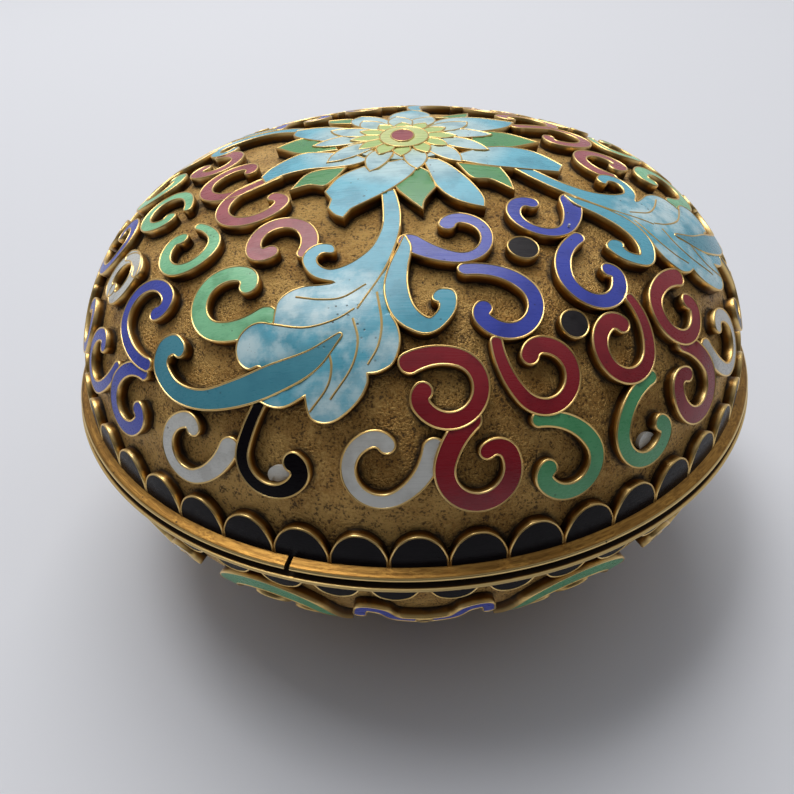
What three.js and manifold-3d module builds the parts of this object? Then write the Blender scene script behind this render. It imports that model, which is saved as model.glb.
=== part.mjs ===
// A round cloisonné enamel box with a lift-off domed lid, in millimetres, +Z up.
// The origin is on the axis at the underside of the foot ring, and the front is -Y.
// Both shells carry raised cells: a lotus, leaf sprays, scrolls, discs and borders of lappets.

import * as THREE from "three";
import { mergeVertices } from "three/addons/utils/BufferGeometryUtils.js";
import Module from "manifold-3d";

const wasm = await Module();
wasm.setup();

const { degToRad, lerp } = THREE.MathUtils;

// ---------------------------------------------------------------- driving dimensions

const seam = 0.3;              // soldered seam, or the play between lid and base
const wall = 1.2;              // metal and enamel under the ground of the cells
const cellHeight = 0.85;       // how far the cells stand above their ground
const cellRoot = 0.7;          // how far a cell's wires run down into the shell
const lowered = 0.75;          // tendrils and scroll tails end a touch under their neighbours

const rimRadius = 35;          // outer edge of both rim bands
const rimLevel = 21;           // where the dome meets its rim, above the table
const rimThickness = 0.45;
const rimRounding = 0.2;       // the rims' edges thin down to this much less
const baseRimThickness = 0.6;
const collarHeight = 2;        // locating collar of the base, inside the lid
const collarThickness = 0.9;
const splitWidth = 0.45;       // open butt joint in the lid's rim strip
const splitDepth = 1.1;
const splitAngle = -16;

const domeRadius = 33.8;       // over the cells, at the foot of the dome
const domeRise = 19.9;
const crownRadius = 68.8;      // flat arc over the middle of the lid
const crownAngle = degToRad(18);
const shoulderRadius = 18.2;   // tight arc down to the rim

const bowlRadius = 34.2;       // over the cells, under the base rim
const bowlShoulder = 16;
const bowlShoulderAngle = degToRad(75);

const footOuter = 18;
const footInner = 16.2;
const footWaist = 0.35;        // how far the foot's outside is hollowed above its lip
const footHeight = 3;

const lappetCount = 48;
const lappet = { height: 3.2, notch: 0.34, start: -3.35 };
const bowlBorder = 1.9;        // raised border under the base rim

const mirrorAxis = 26.3;       // the lid's pattern mirrors here, and repeats half a turn on
const shellSides = 28;
const rimSides = 36;
const footSides = 28;

// ---------------------------------------------------------------- curved surfaces
// section(s) gives the radius, height and slope over the cells, s along the side.

const crownLength = crownRadius * crownAngle;
const crownDrop = crownRadius * (1 - Math.cos(crownAngle));
const domeEndSlope = Math.acos(Math.cos(crownAngle) - (domeRise - crownDrop) / shoulderRadius);
const domeLength = crownLength + shoulderRadius * (domeEndSlope - crownAngle);
const lidFoot = rimLevel + seam / 2;

// The dome: s runs from the top of the lid down to its foot, and y of an outline runs up
const dome = {
  section(s) {
    const slope = s < crownLength ? s / crownRadius : crownAngle + (s - crownLength) / shoulderRadius;
    const crown = Math.min(slope, crownAngle);
    const side = Math.sin(slope) - Math.sin(crown);
    const sideDrop = shoulderRadius * (Math.cos(crown) - Math.cos(slope));
    const z = rimLevel + domeRise - crownRadius * (1 - Math.cos(crown)) - sideDrop;
    return { r: crownRadius * Math.sin(crown) + shoulderRadius * side, z, slope };
  },
  point(azimuth, s, lift) {
    const { r, z, slope } = this.section(s);
    const out = r + (lift - cellHeight) * Math.sin(slope);
    const up = Math.max(z + (lift - cellHeight) * Math.cos(slope), lidFoot);
    return [out * Math.sin(azimuth), -out * Math.cos(azimuth), up];
  },
};

const lidRimTop = rimLevel - seam / 2;
const lidRimBottom = lidRimTop - rimThickness;
const baseRimTop = lidRimBottom - seam;
const baseRimBottom = baseRimTop - baseRimThickness;
const bowlTop = baseRimBottom - seam;
const bowlShoulderLength = bowlShoulder * bowlShoulderAngle;
const bowlBottomRadius = (bowlRadius - bowlShoulder * (1 - Math.cos(bowlShoulderAngle)))
  / Math.cos(bowlShoulderAngle);
const bowlLength = bowlShoulderLength + bowlBottomRadius * (Math.PI / 2 - bowlShoulderAngle);

// The bowl: s runs from its rim down to the middle of its underside
const bowl = {
  section(s) {
    const side = Math.min(s, bowlShoulderLength) / bowlShoulder;
    const slope = side + Math.max(s - bowlShoulderLength, 0) / bowlBottomRadius;
    const underRadius = bowlBottomRadius * (Math.cos(side) - Math.cos(slope));
    const underDrop = bowlBottomRadius * (Math.sin(slope) - Math.sin(side));
    const r = bowlRadius - bowlShoulder * (1 - Math.cos(side)) - underRadius;
    return { r, z: bowlTop - bowlShoulder * Math.sin(side) - underDrop, slope };
  },
  point(azimuth, s, lift) {
    const { r, z, slope } = this.section(s);
    const out = r + (lift - cellHeight) * Math.cos(slope);
    const down = z - (lift - cellHeight) * Math.sin(slope);
    return [out * Math.sin(azimuth), -out * Math.cos(azimuth), down];
  },
};

// ---------------------------------------------------------------- solids

function toSolid(geometry) {
  const bare = geometry.clone();
  bare.deleteAttribute("normal");
  bare.deleteAttribute("uv");
  const merged = mergeVertices(bare, 1e-4);
  const index = merged.index.array;
  const build = (flip) => {
    const triVerts = [];
    for (let i = 0; i < index.length; i += 3) {
      const [a, b, c] = [index[i], index[i + 1], index[i + 2]];
      if (a !== b && b !== c && c !== a) triVerts.push(a, flip ? c : b, flip ? b : c);
    }
    return new wasm.Manifold(new wasm.Mesh({
      numProp: 3,
      vertProperties: new Float32Array(merged.attributes.position.array),
      triVerts: new Uint32Array(triVerts),
    }));
  };
  const solid = build(false);
  return solid.volume() > 0 ? solid : build(true);
}

const unite = (solids) => solids.reduce((whole, next) => whole.add(next));

// Turns a closed row of [radius, height] about the axis
function turned(profile, sides) {
  const points = [...profile, profile[0]].map(([r, z]) => new THREE.Vector2(r, z));
  return toSolid(new THREE.LatheGeometry(points, sides).rotateX(Math.PI / 2));
}

// Coordinates on a fine grid keep the four corners of each wall in one plane
const grid = 1 / 512;
const snapped = (vector) => vector.divideScalar(grid).round().multiplyScalar(grid);

// Extrudes a flat outline with its top on top(x, y) and its walls along one direction
function raised(outline, top, direction, height) {
  const shape = new THREE.Shape(outline.map(([x, y]) => new THREE.Vector2(x, y)));
  const geometry = new THREE.ExtrudeGeometry(shape, { depth: 1, bevelEnabled: false });
  const position = geometry.attributes.position;
  const drop = snapped(direction.clone().multiplyScalar(height + cellRoot));
  for (let i = 0; i < position.count; i++) {
    const point = snapped(top(position.getX(i), position.getY(i)));
    if (position.getZ(i) < 0.5) point.sub(drop);
    position.setXYZ(i, ...point);
  }
  return toSolid(geometry);
}

// A cell at [degrees round the box, distance s]: its x runs round the box and its y runs up.
// reflect mirrors it at the pattern's axis, and turn adds degrees afterwards.
function cell(surface, outline, [degrees, distance], options = {}) {
  const { reflect = false, turn = 0, height = cellHeight } = options;
  const place = (x, y, lift) => {
    const s = distance - y;
    const azimuth = degToRad(degrees) + x / surface.section(s).r;
    const placed = reflect ? 2 * degToRad(mirrorAxis) - azimuth : azimuth;
    return new THREE.Vector3(...surface.point(placed + degToRad(turn), s, lift));
  };
  const mean = (axis) => outline.reduce((sum, point) => sum + point[axis], 0) / outline.length;
  const middle = [mean(0), mean(1)];
  const direction = place(...middle, 1).sub(place(...middle, 0));
  return raised(outline, (x, y) => place(x, y, height), direction, height);
}

// A cell drawn round the top of the lid by rows of [degrees, distance]
function crownCell(rows, height) {
  const flat = (angle, s) => [s * Math.sin(angle), s * Math.cos(angle)];
  const outline = rows.map(([degrees, s]) => flat(degToRad(degrees), s));
  const top = (x, y) => new THREE.Vector3(...dome.point(Math.atan2(x, y), Math.hypot(x, y), height));
  return raised(outline, top, new THREE.Vector3(0, 0, 1), height);
}

// ---------------------------------------------------------------- outlines

// Both edges of a band and the tip of its round end, from rows of [x, y, width]
function band(rows, tip = true) {
  const left = [];
  const right = [];
  rows.forEach(([x, y, width], i) => {
    const [ax, ay] = rows[Math.max(i - 1, 0)];
    const [bx, by] = rows[Math.min(i + 1, rows.length - 1)];
    const length = Math.hypot(bx - ax, by - ay);
    const across = [(-(by - ay) / length) * (width / 2), ((bx - ax) / length) * (width / 2)];
    left.push([x + across[0], y + across[1]]);
    right.push([x - across[0], y - across[1]]);
    if (tip && i === rows.length - 1) left.push([x + across[1], y - across[0]]);
  });
  return [...left, ...right.reverse()];
}

// Width along a scroll: at its start, over its middle and at its end
function widthAt([start, middle, end], along) {
  if (along < 0.35) return lerp(start, middle, along / 0.35);
  return along > 0.7 ? lerp(middle, end, (along - 0.7) / 0.3) : middle;
}

// A scroll as three tangent arcs: the main arc round [0, 0], a tail before it and a curl after it.
// arc = [radius, first angle, last angle], tail and curl = [radius, sweep], in degrees.
function scroll([, [radius, from, to], tail, curl, width], tip) {
  const turn = Math.sign(to - from);
  const arcs = [
    { r: tail[0], hub: from, first: from - turn * tail[1], last: from, count: 1 },
    { r: radius, hub: from, first: from, last: to, count: 3 },
    { r: curl[0], hub: to, first: to, last: to + turn * curl[1], count: 1 },
  ];
  const lengthOf = ({ r, first, last }) => r * degToRad(Math.abs(last - first));
  const whole = arcs.reduce((sum, arc) => sum + lengthOf(arc), 0);
  const rows = [];
  let before = 0;
  for (const arc of arcs) {
    const shift = radius - arc.r;
    const hub = degToRad(arc.hub);
    for (let i = rows.length ? 1 : 0; i <= arc.count; i++) {
      const angle = degToRad(lerp(arc.first, arc.last, i / arc.count));
      const along = (before + (lengthOf(arc) * i) / arc.count) / whole;
      rows.push([
        shift * Math.cos(hub) + arc.r * Math.cos(angle),
        shift * Math.sin(hub) + arc.r * Math.sin(angle),
        Math.min(widthAt(width, along), arc.r * 1.7),
      ]);
    }
    before += lengthOf(arc);
  }
  return band(rows, tip);
}

const circle = (radius, count) => Array.from({ length: count }, (_, i) => {
  const angle = (2 * Math.PI * i) / count;
  return [radius * Math.cos(angle), radius * Math.sin(angle)];
});

// One closed border of round-topped lappets, standing on the lid's foot
function lappets({ height, notch, start }) {
  const pitch = (2 * Math.PI) / lappetCount;
  const arch = [[0, 0], [0, notch], [0.24, 0.92], [0.76, 0.92], [1, notch], [1, 0]];
  const last = arch.length - 1;
  const positions = [];
  for (let k = 0; k < lappetCount; k++) {
    const place = (lift) => arch.map(([across, rise]) => {
      const azimuth = degToRad(start) + ((k + across) % lappetCount) * pitch;
      return dome.point(azimuth, domeLength - height * rise, lift);
    });
    const low = place(-cellRoot);
    const high = place(cellHeight);
    for (let i = 1; i < last; i++) {
      positions.push(...high[0], ...high[i + 1], ...high[i], ...low[0], ...low[i], ...low[i + 1]);
    }
    for (const i of [1, 2, 3, last]) {
      const j = (i + 1) % arch.length;
      positions.push(...low[i], ...high[i], ...high[j], ...low[i], ...high[j], ...low[j]);
    }
  }
  const geometry = new THREE.BufferGeometry();
  geometry.setAttribute("position", new THREE.Float32BufferAttribute(positions, 3));
  return toSolid(geometry);
}

// ---------------------------------------------------------------- the lid's pattern
// One quarter of the lid. The rest mirrors it, then repeats it half a turn on.
// Each scroll: [degrees, distance], arc, tail, curl, and widths as scroll() takes them.

const lidScrolls = {
  cobaltUpper: [[13, 17.25], [2.3, -110, 65], [7, 25], [1, 88], [2.2, 1.15, 1.5]],
  cobaltLower: [[16.9, 24.3], [2.25, 25, -150], [4.5, 45], [0.75, 90], [1.3, 1.4, 1.6]],
  brickUpper: [[5.2, 29.95], [2.25, 70, -150], [4, 30], [0.8, 80], [1.7, 1.35, 1.5]],
  brickMiddle: [[19, 30.15], [2.2, -150, 75], [6, 28], [1, 80], [1, 1.35, 1.5]],
  brickLower: [[8.2, 35.8], [2.4, 160, 380], [6, 20], [1, 110], [1.7, 1.6, 1.3]],
  jade: [[20.1, 36.6], [2.25, 25, -150], [4.5, 45], [0.8, 90], [1.2, 1.4, 1.5]],
  whiteInner: [[-4, 35.5], [2.3, -60, -250], [5, 35], [1, 75], [1.7, 1.2, 1.4]],
  whiteOuter: [[-31.3, 36.8], [2.2, -65, -250], [5, 35], [0.8, 80], [1.8, 1.3, 1.4]],
  black: [[-18.3, 35.6], [2.4, 170, 330], [20, 8], [0.9, 100], [1, 1.2, 1.7]],
  roseInner: [[-32.5, 18.7], [2.2, 60, 230], [3.5, 35], [0.9, 105], [1.5, 1.4, 1.6]],
  roseOuter: [[-53.9, 16.2], [2.75, 175, 385], [15, 8], [1.1, 95], [1.3, 1.4, 1.3]],
  mintInner: [[-33.3, 25.25], [2.55, -80, -260], [5, 30], [1.1, 85], [2.1, 1.6, 1.6]],
  mintOuter: [[-52.5, 22.95], [2.3, 80, -160], [4, 15], [0.9, 70], [0.9, 1.3, 1.4]],
  cobaltSide: [[-49.2, 29.3], [2.6, -120, -295], [7, 28], [1, 120], [1.2, 1.2, 1.4]],
  cobaltHook: [[-45.3, 36], [2.3, 150, 330], [3.4, 50], [0.8, 95], [1.2, 1.4, 1.4]],
  cobaltEdge: [[-57.5, 35.8], [2.3, -60, -250], [6, 30], [0.9, 90], [1.2, 1.2, 1.3]],
  whiteArch: [[-64.3, 29.1], [2.15, 110, -40], [2.15, 20], [0.8, 110], [1.3, 1.3, 1.3]],
};

// The leaf spray round a point in the middle of its leaf: an outline, and bands of [x, y, width]
const leafAt = [-17, 24];
const leafOutline = [
  [1.2, 13.4], [2.3, 13.4], [3.9, 9.5], [4.4, 4], [5.2, 2.2], [7, -1.6], [7, -4.2], [5.9, -4.9],
  [4.9, -4.4], [4.9, -7.2], [3.1, -8.8], [1.5, -7.2], [0.1, -7.9], [-1.1, -6.6], [-0.5, -4.3],
  [-4, -5.3], [-4.7, -4.1], [-2.2, -1.8], [-2.8, -0.4], [-1.2, 1.4], [1.6, 2], [2.4, 5],
  [2.5, 9.5],
];
const leafTendrils = [
  [[1.8, -2.6, 1], [-1.5, -6, 2.3], [-7, -8.8, 1.6], [-10, -9, 1.6], [-11.8, -7.4, 1.8], [-10.8, -5.9, 1.5]],
  [[4.3, 6.4, 0.5], [5.2, 3.8, 1.6], [5.7, 1.2, 1.8], [7.5, -1.1, 1.4], [9.3, -0.9, 1.4], [9.2, 0.8, 1.4]],
  [[3, 3.2, 2], [-0.3, 2.9, 1.4], [-1.6, 3.8, 1.4], [-1.2, 5.1, 1.4]],
];

const discs = [[26.9, 19.75, 1.3], [26.9, 27.2, 1.2]];     // degrees, distance, radius
const discSides = 10;

// The lotus, round its petals and sepals from the left of the front one: [degrees, distance]
const lotus = [
  [-36, 9.5], [-34, 12.1], [-29, 12.9], [-27, 14], [-19.5, 15], [-8, 10.8], [0, 11.7], [6, 13.7],
  [12, 10.8], [21, 13.6], [26, 14.6], [31, 10.6], [41.5, 13.7], [54, 10.9], [66, 14.9], [72, 14.9],
  [79, 10], [93, 13], [101, 9.4], [114, 12.6], [122, 13.3], [131, 9.4], [146, 12], [157, 9],
  [170, 10.8], [176, 11.3], [-173, 8.6], [-154, 10.4], [-138, 8.4], [-124, 12.5], [-118, 12.8],
  [-109, 9.2], [-97, 12.6], [-84, 9.4], [-73, 12.4], [-67.5, 14], [-61, 14], [-55, 10.4],
  [-47, 13.3],
];
const lotusHeart = 6.6;        // the tiers of small petals round the middle
const lotusHeartSides = 14;
const heartRise = 0.1;

// ---------------------------------------------------------------- the bowl's pattern
// Eight repeats: two hooks that meet under the border, and an arch between each two pairs.

const bowlRepeats = 8;
const halfRepeat = 180 / bowlRepeats;
const bowlStart = 1;           // degrees to the first pair
const pairDepth = 5.2;         // distance from the rim to the middle of each pair
const pairHalf = [[0, -1.7, 1.5], [2.2, -0.9, 1.1], [3.4, 0.9, 1.1], [4.9, 1.2, 1.1], [5.2, -0.1, 1.2]];
const pairBand = [...pairHalf.slice(1).reverse().map(([x, y, width]) => [-x, y, width]), ...pairHalf];
const archDepth = 9.4;
const archBand = [[-5.4, -0.8, 0.9], [-3.8, 4.4, 1.3], [0, 6, 1.5], [3.8, 4.4, 1.3], [5.4, -0.8, 0.9]];

// ---------------------------------------------------------------- pieces

const offset = (surface, s, lift) => {
  const [x, y, z] = surface.point(0, s, lift);
  return [Math.hypot(x, y), z];
};

function lid() {
  const outside = [1, 0.84, 0.68, 0.5, 0.26].map((share) => offset(dome, domeLength * share, 0));
  const inside = [0.3, 0.58, 0.77, 0.91, 1].map((share) => offset(dome, domeLength * share, -wall));
  const top = [offset(dome, 0, 0), offset(dome, 0, -wall)];
  const shell = turned([...outside, ...top, ...inside], shellSides);
  const quarters = [{}, { reflect: true }, { turn: 180 }, { reflect: true, turn: 180 }];
  const cells = quarters.flatMap((copy) => {
    const tip = !copy.turn;    // the plainer back half has square ends
    return [
      ...Object.values(lidScrolls).map((shape) => cell(dome, scroll(shape, tip), shape[0], copy)),
      ...leafTendrils.map((rows) => cell(dome, band(rows, tip), leafAt, { ...copy, height: lowered })),
      cell(dome, leafOutline, leafAt, copy),
    ];
  });
  const studs = [0, 180].flatMap((turn) => discs.map(([degrees, s, radius]) => (
    cell(dome, circle(radius, discSides), [degrees, s], { turn })
  )));
  const heart = turned([
    offset(dome, lotusHeart, -cellRoot), offset(dome, lotusHeart, cellHeight + heartRise),
    offset(dome, lotusHeart / 2, cellHeight + heartRise), offset(dome, 0, cellHeight + heartRise),
    offset(dome, 0, -cellRoot),
  ], lotusHeartSides);
  return unite([shell, lappets(lappet), ...cells, ...studs, crownCell(lotus, cellHeight), heart]);
}

// A ring of the underside's corners lies over the foot, so that the foot follows it closely
const overFoot = 0.61;

function bowlBody() {
  const border = [0, bowlBorder].map((s) => offset(bowl, s, cellHeight));
  const shares = [bowlBorder / bowlLength, 0.16, 0.32, 0.48, overFoot];
  const outside = shares.map((share) => offset(bowl, bowlLength * share, 0));
  const inside = [overFoot, 0.5, 0.33, 0.16, 0].map((share) => offset(bowl, bowlLength * share, -wall));
  const floor = [offset(bowl, bowlLength, 0), offset(bowl, bowlLength, -wall)];
  const shell = turned([...border, ...outside, ...floor, ...inside], shellSides);
  const cells = [...Array(bowlRepeats).keys()].flatMap((k) => {
    const degrees = bowlStart + 2 * k * halfRepeat;
    return [
      cell(bowl, band(pairBand, false), [degrees, pairDepth]),
      cell(bowl, band(archBand, false), [degrees + halfRepeat, archDepth], { height: lowered }),
    ];
  });
  return unite([shell, ...cells]);
}

function lidRim() {
  const inner = domeRadius - cellHeight - wall;
  const edge = rimRadius - rimRounding;
  const ring = turned([
    [inner, lidRimBottom], [rimRadius, lidRimBottom], [rimRadius, lidRimTop - rimRounding],
    [edge, lidRimTop], [inner, lidRimTop],
  ], rimSides);
  const cut = new THREE.BoxGeometry(splitWidth, splitDepth, 2 * rimThickness);
  cut.translate(0, splitDepth * 0.45 - rimRadius, (lidRimTop + lidRimBottom) / 2);
  cut.rotateZ(degToRad(splitAngle));
  return ring.subtract(toSolid(cut));
}

function baseRim() {
  const collarOuter = domeRadius - cellHeight - wall - seam;
  const collarInner = collarOuter - collarThickness;
  const collarTop = baseRimTop + collarHeight;
  return turned([
    [collarInner, baseRimBottom], [rimRadius - rimRounding, baseRimBottom],
    [rimRadius, baseRimBottom + rimRounding], [rimRadius, baseRimTop],
    [collarOuter, baseRimTop], [collarOuter, collarTop], [collarInner, collarTop],
  ], rimSides);
}

function footRing() {
  const waist = footOuter - footWaist;
  return turned([
    [footInner, 0], [footOuter, 0], [footOuter, footHeight * 0.3],
    [waist, footHeight * 0.5], [waist, footHeight], [footInner, footHeight],
  ], footSides);
}

// ---------------------------------------------------------------- the box

const stippledGilt = { color: 0x9d7838, metalness: 0.9, roughness: 0.5 };
const brightGilt = { color: 0xc59a50, metalness: 1, roughness: 0.35 };

function addPiece(group, name, solid, look) {
  const { vertProperties, triVerts } = solid.getMesh();
  const geometry = new THREE.BufferGeometry();
  geometry.setAttribute("position", new THREE.BufferAttribute(vertProperties, 3));
  geometry.setIndex(new THREE.BufferAttribute(triVerts, 1));
  const mesh = new THREE.Mesh(geometry, new THREE.MeshStandardMaterial(look));
  mesh.name = name;
  group.add(mesh);
}

const box = new THREE.Group();
addPiece(box, "foot_ring", footRing(), brightGilt);
addPiece(box, "bowl", bowlBody(), stippledGilt);
addPiece(box, "base_rim", baseRim(), brightGilt);
addPiece(box, "lid_rim", lidRim(), brightGilt);
addPiece(box, "lid", lid(), stippledGilt);

export default box;
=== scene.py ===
import math
import bpy
import numpy as np
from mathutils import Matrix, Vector, kdtree
from mathutils.geometry import delaunay_2d_cdt


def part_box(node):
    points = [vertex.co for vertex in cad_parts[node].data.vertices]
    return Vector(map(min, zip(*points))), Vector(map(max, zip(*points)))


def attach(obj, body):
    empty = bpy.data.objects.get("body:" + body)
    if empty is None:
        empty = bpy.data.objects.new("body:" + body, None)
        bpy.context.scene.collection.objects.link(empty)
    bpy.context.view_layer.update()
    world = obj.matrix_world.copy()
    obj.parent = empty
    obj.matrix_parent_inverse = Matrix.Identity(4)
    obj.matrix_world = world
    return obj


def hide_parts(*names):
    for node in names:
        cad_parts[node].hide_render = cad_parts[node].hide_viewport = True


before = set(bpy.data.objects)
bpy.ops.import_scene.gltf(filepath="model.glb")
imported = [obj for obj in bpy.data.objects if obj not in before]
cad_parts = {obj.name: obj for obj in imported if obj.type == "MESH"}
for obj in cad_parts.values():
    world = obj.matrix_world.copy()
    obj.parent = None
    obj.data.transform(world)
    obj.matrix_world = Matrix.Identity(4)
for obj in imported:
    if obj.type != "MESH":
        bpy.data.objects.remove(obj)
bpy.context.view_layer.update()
mm = 0.001
print("frame loaded")

# Camera

camera = {"eye": (0, -65.1, 62.2), "turn": (51.222, 1.981, -0.065), "lens": 31.19}


def addCamera():
    data = bpy.data.cameras.new("camera")
    data.lens = camera["lens"]
    data.sensor_width = 36
    data.clip_start = 0.002
    eye = bpy.data.objects.new("camera", data)
    eye.location = [value * mm for value in camera["eye"]]
    eye.rotation_euler = [math.radians(value) for value in camera["turn"]]
    bpy.context.scene.collection.objects.link(eye)
    bpy.context.scene.camera = eye


addCamera()

# The two curved surfaces: all measures in millimetres, lift is counted from the cells' tops

cellForm = {
    "height": 0.85,        # from the ground to the polished tops
    "root": 0.12,          # how far the wires run on under the ground
    "rank": 0.014,         # a cell that laps over another stands this much prouder
    "sink": 0.14,          # and the lower one drops this far beneath it
}
lidForm = {
    "crownRadius": 68.8,
    "crownAngle": math.radians(18),
    "shoulderRadius": 18.2,
    "rise": 19.9,
    "wall": 1.2,
}
bowlForm = {
    "radius": 34.2,
    "shoulderRadius": 16,
    "shoulderAngle": math.radians(75),
    "wall": 1.2,
}
seam = 0.3
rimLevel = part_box("lid")[0][2] / mm - seam / 2
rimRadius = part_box("lid_rim")[1][0] / mm
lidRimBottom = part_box("lid_rim")[0][2] / mm
baseRimTop = lidRimBottom - seam
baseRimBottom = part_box("base_rim")[0][2] / mm
bowlTop = baseRimBottom


def domeSection(s):
    crownRadius = lidForm["crownRadius"]
    crownAngle = lidForm["crownAngle"]
    shoulder = lidForm["shoulderRadius"]
    crownLength = crownRadius * crownAngle
    slope = np.where(s < crownLength, s / crownRadius, crownAngle + (s - crownLength) / shoulder)
    crown = np.minimum(slope, crownAngle)
    radius = crownRadius * np.sin(crown) + shoulder * (np.sin(slope) - np.sin(crown))
    drop = crownRadius * (1 - np.cos(crown)) + shoulder * (np.cos(crown) - np.cos(slope))
    return radius, rimLevel + lidForm["rise"] - drop, np.sin(slope), np.cos(slope)


def bowlSection(s):
    shoulder = bowlForm["shoulderRadius"]
    angle = bowlForm["shoulderAngle"]
    bottom = (bowlForm["radius"] - shoulder * (1 - math.cos(angle))) / math.cos(angle)
    side = np.minimum(s, shoulder * angle) / shoulder
    slope = side + np.maximum(s - shoulder * angle, 0) / bottom
    radius = bowlForm["radius"] - shoulder * (1 - np.cos(side)) - bottom * (np.cos(side) - np.cos(slope))
    drop = shoulder * np.sin(side) + bottom * (np.sin(slope) - np.sin(side))
    return radius, bowlTop - drop, np.cos(slope), -np.sin(slope)


def onSurface(section, azimuth, s, lift):
    radius, z, outward, upward = section(np.asarray(s, float))
    radius = radius + lift * outward
    z = z + lift * upward
    return np.stack([radius * np.sin(azimuth), -radius * np.cos(azimuth), z], -1) * mm


def arcLength(section, test, longest=60):
    s = np.linspace(0, longest, 6001)
    return float(s[np.argmax(test(*section(s)))])


domeLength = arcLength(domeSection, lambda r, z, out, up: z <= rimLevel)
bowlLength = arcLength(bowlSection, lambda r, z, out, up: r <= 0.02)


# Heaps of faces that become the pieces


def newHeap(*marks):
    return {"points": [], "faces": [], "count": 0, "marks": {name: [] for name in marks}}


def addToHeap(heap, points, faces, flip=False, **marks):
    start = heap["count"]
    for face in faces:
        corners = [start + int(i) for i in face]
        heap["faces"].append(corners[::-1] if flip else corners)
    heap["points"].append(np.asarray(points, float))
    heap["count"] += len(points)
    for name, values in heap["marks"].items():
        values.append(np.broadcast_to(np.asarray(marks.get(name, 0.0), float), (len(points),)))


sharpFrom = 48      # degrees between faces that show as an edge


def makePiece(name, heap, material, slot, nodes):
    mesh = bpy.data.meshes.new(name)
    mesh.from_pydata(np.concatenate(heap["points"]).tolist(), [], heap["faces"])
    for mark, values in heap["marks"].items():
        layer = mesh.attributes.new(mark, "FLOAT", "POINT")
        layer.data.foreach_set("value", np.concatenate(values).astype(np.float32))
    mesh.polygons.foreach_set("use_smooth", [True] * len(mesh.polygons))
    for look in material if isinstance(material, list) else [material]:
        mesh.materials.append(look)
    mesh.update()
    mesh.set_sharp_from_angle(angle=math.radians(sharpFrom))
    piece = bpy.data.objects.new(name, mesh)
    bpy.context.scene.collection.objects.link(piece)
    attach(piece, "root")
    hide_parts(*nodes)
    triangles = sum(len(face) - 2 for face in heap["faces"])
    print(name, triangles, "triangles")
    return piece


# Outlines


def curveThrough(points, step=0.16):
    # an even, smooth line through the points
    points = np.asarray(points, float)
    if len(points) > 2:
        ends = np.vstack([2 * points[0] - points[1], points, 2 * points[-1] - points[-2]])
        t = np.linspace(0, 1, 9)[:-1, None]
        parts = []
        for a, b, c, d in zip(ends, ends[1:], ends[2:], ends[3:]):
            cubic = -a + 3 * b - 3 * c + d
            parts.append(0.5 * (2 * b + (c - a) * t + (2 * a - 5 * b + 4 * c - d) * t ** 2 + cubic * t ** 3))
        points = np.vstack(parts + [points[-1:]])
    return evenly(points, step)


def evenly(points, step):
    run = np.concatenate([[0], np.cumsum(np.hypot(*np.diff(points[:, :2], axis=0).T))])
    count = max(2, int(round(run[-1] / step)) + 1)
    marks = np.linspace(0, run[-1], count)
    return np.stack([np.interp(marks, run, column) for column in points.T], 1)


def closedOutline(strokes, step=0.16):
    # strokes join end to start, and a join is a corner
    parts = [curveThrough(stroke, step)[:-1] for stroke in strokes]
    return counterClockwise(np.vstack(parts))


def counterClockwise(outline):
    x, y = outline.T
    area = np.sum(x * np.roll(y, -1) - y * np.roll(x, -1))
    return outline if area > 0 else outline[::-1]


def scrollRows(arc, tail, curl, width, step=0.15, tuck=0.0):
    # centreline and width of a scroll: tail, main arc round (0, 0) and a tighter curl
    radius, first, last = arc
    turn = 1 if last > first else -1
    reach = tail[1] + math.degrees(tuck / tail[0])
    parts = [
        (tail[0], first, first - turn * reach, first),
        (radius, first, first, last),
        (curl[0], last, last, last + turn * curl[1]),
    ]
    rows = []
    for r, hub, begin, end in parts:
        if begin == end:
            continue
        count = max(3, int(r * math.radians(abs(end - begin)) / step))
        angle = np.radians(np.linspace(begin, end, count + 1)[(1 if rows else 0):])
        shift = (radius - r) * np.array([math.cos(math.radians(hub)), math.sin(math.radians(hub))])
        xy = shift + r * np.stack([np.cos(angle), np.sin(angle)], 1)
        rows.append(np.column_stack([xy, np.full(len(xy), r)]))
    rows = np.vstack(rows)
    run = np.concatenate([[0], np.cumsum(np.hypot(*np.diff(rows[:, :2], axis=0).T))])
    along = run / run[-1]
    half = np.interp(along, [0, 0.35, 0.7, 1], [width[0], width[1], width[1], width[2]]) / 2
    half = np.minimum(half, rows[:, 2] * 0.92)
    smooth = np.convolve(np.pad(half, 4, mode="edge"), np.ones(9) / 9, mode="valid")
    return np.column_stack([rows[:, :2], smooth])


def bandRows(points, step=0.15):
    rows = curveThrough(points, step)
    rows[:, 2] /= 2
    return rows


def bandOutline(rows):
    xy = rows[:, :2]
    half = rows[:, 2:]
    along = np.gradient(xy, axis=0)
    along /= np.hypot(*along.T)[:, None]
    across = np.stack([-along[:, 1], along[:, 0]], 1)

    def cap(i, sign):
        count = max(3, int(math.pi * rows[i, 2] / 0.16))
        t = np.linspace(0, math.pi, count + 1)[1:-1, None]
        return xy[i] + rows[i, 2] * (np.cos(t) * across[i] + np.sin(t) * along[i]) * sign
    left = xy + across * half
    right = xy - across * half
    return counterClockwise(np.vstack([left, cap(-1, 1), right[::-1], cap(0, -1)]))


def oval(halfX, halfY, centre=(0, 0), step=0.16):
    count = int(2 * math.pi * max(halfX, halfY) / step)
    t = np.linspace(0, 2 * math.pi, count, endpoint=False)
    return np.stack([centre[0] + halfX * np.cos(t), centre[1] + halfY * np.sin(t)], 1)


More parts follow.
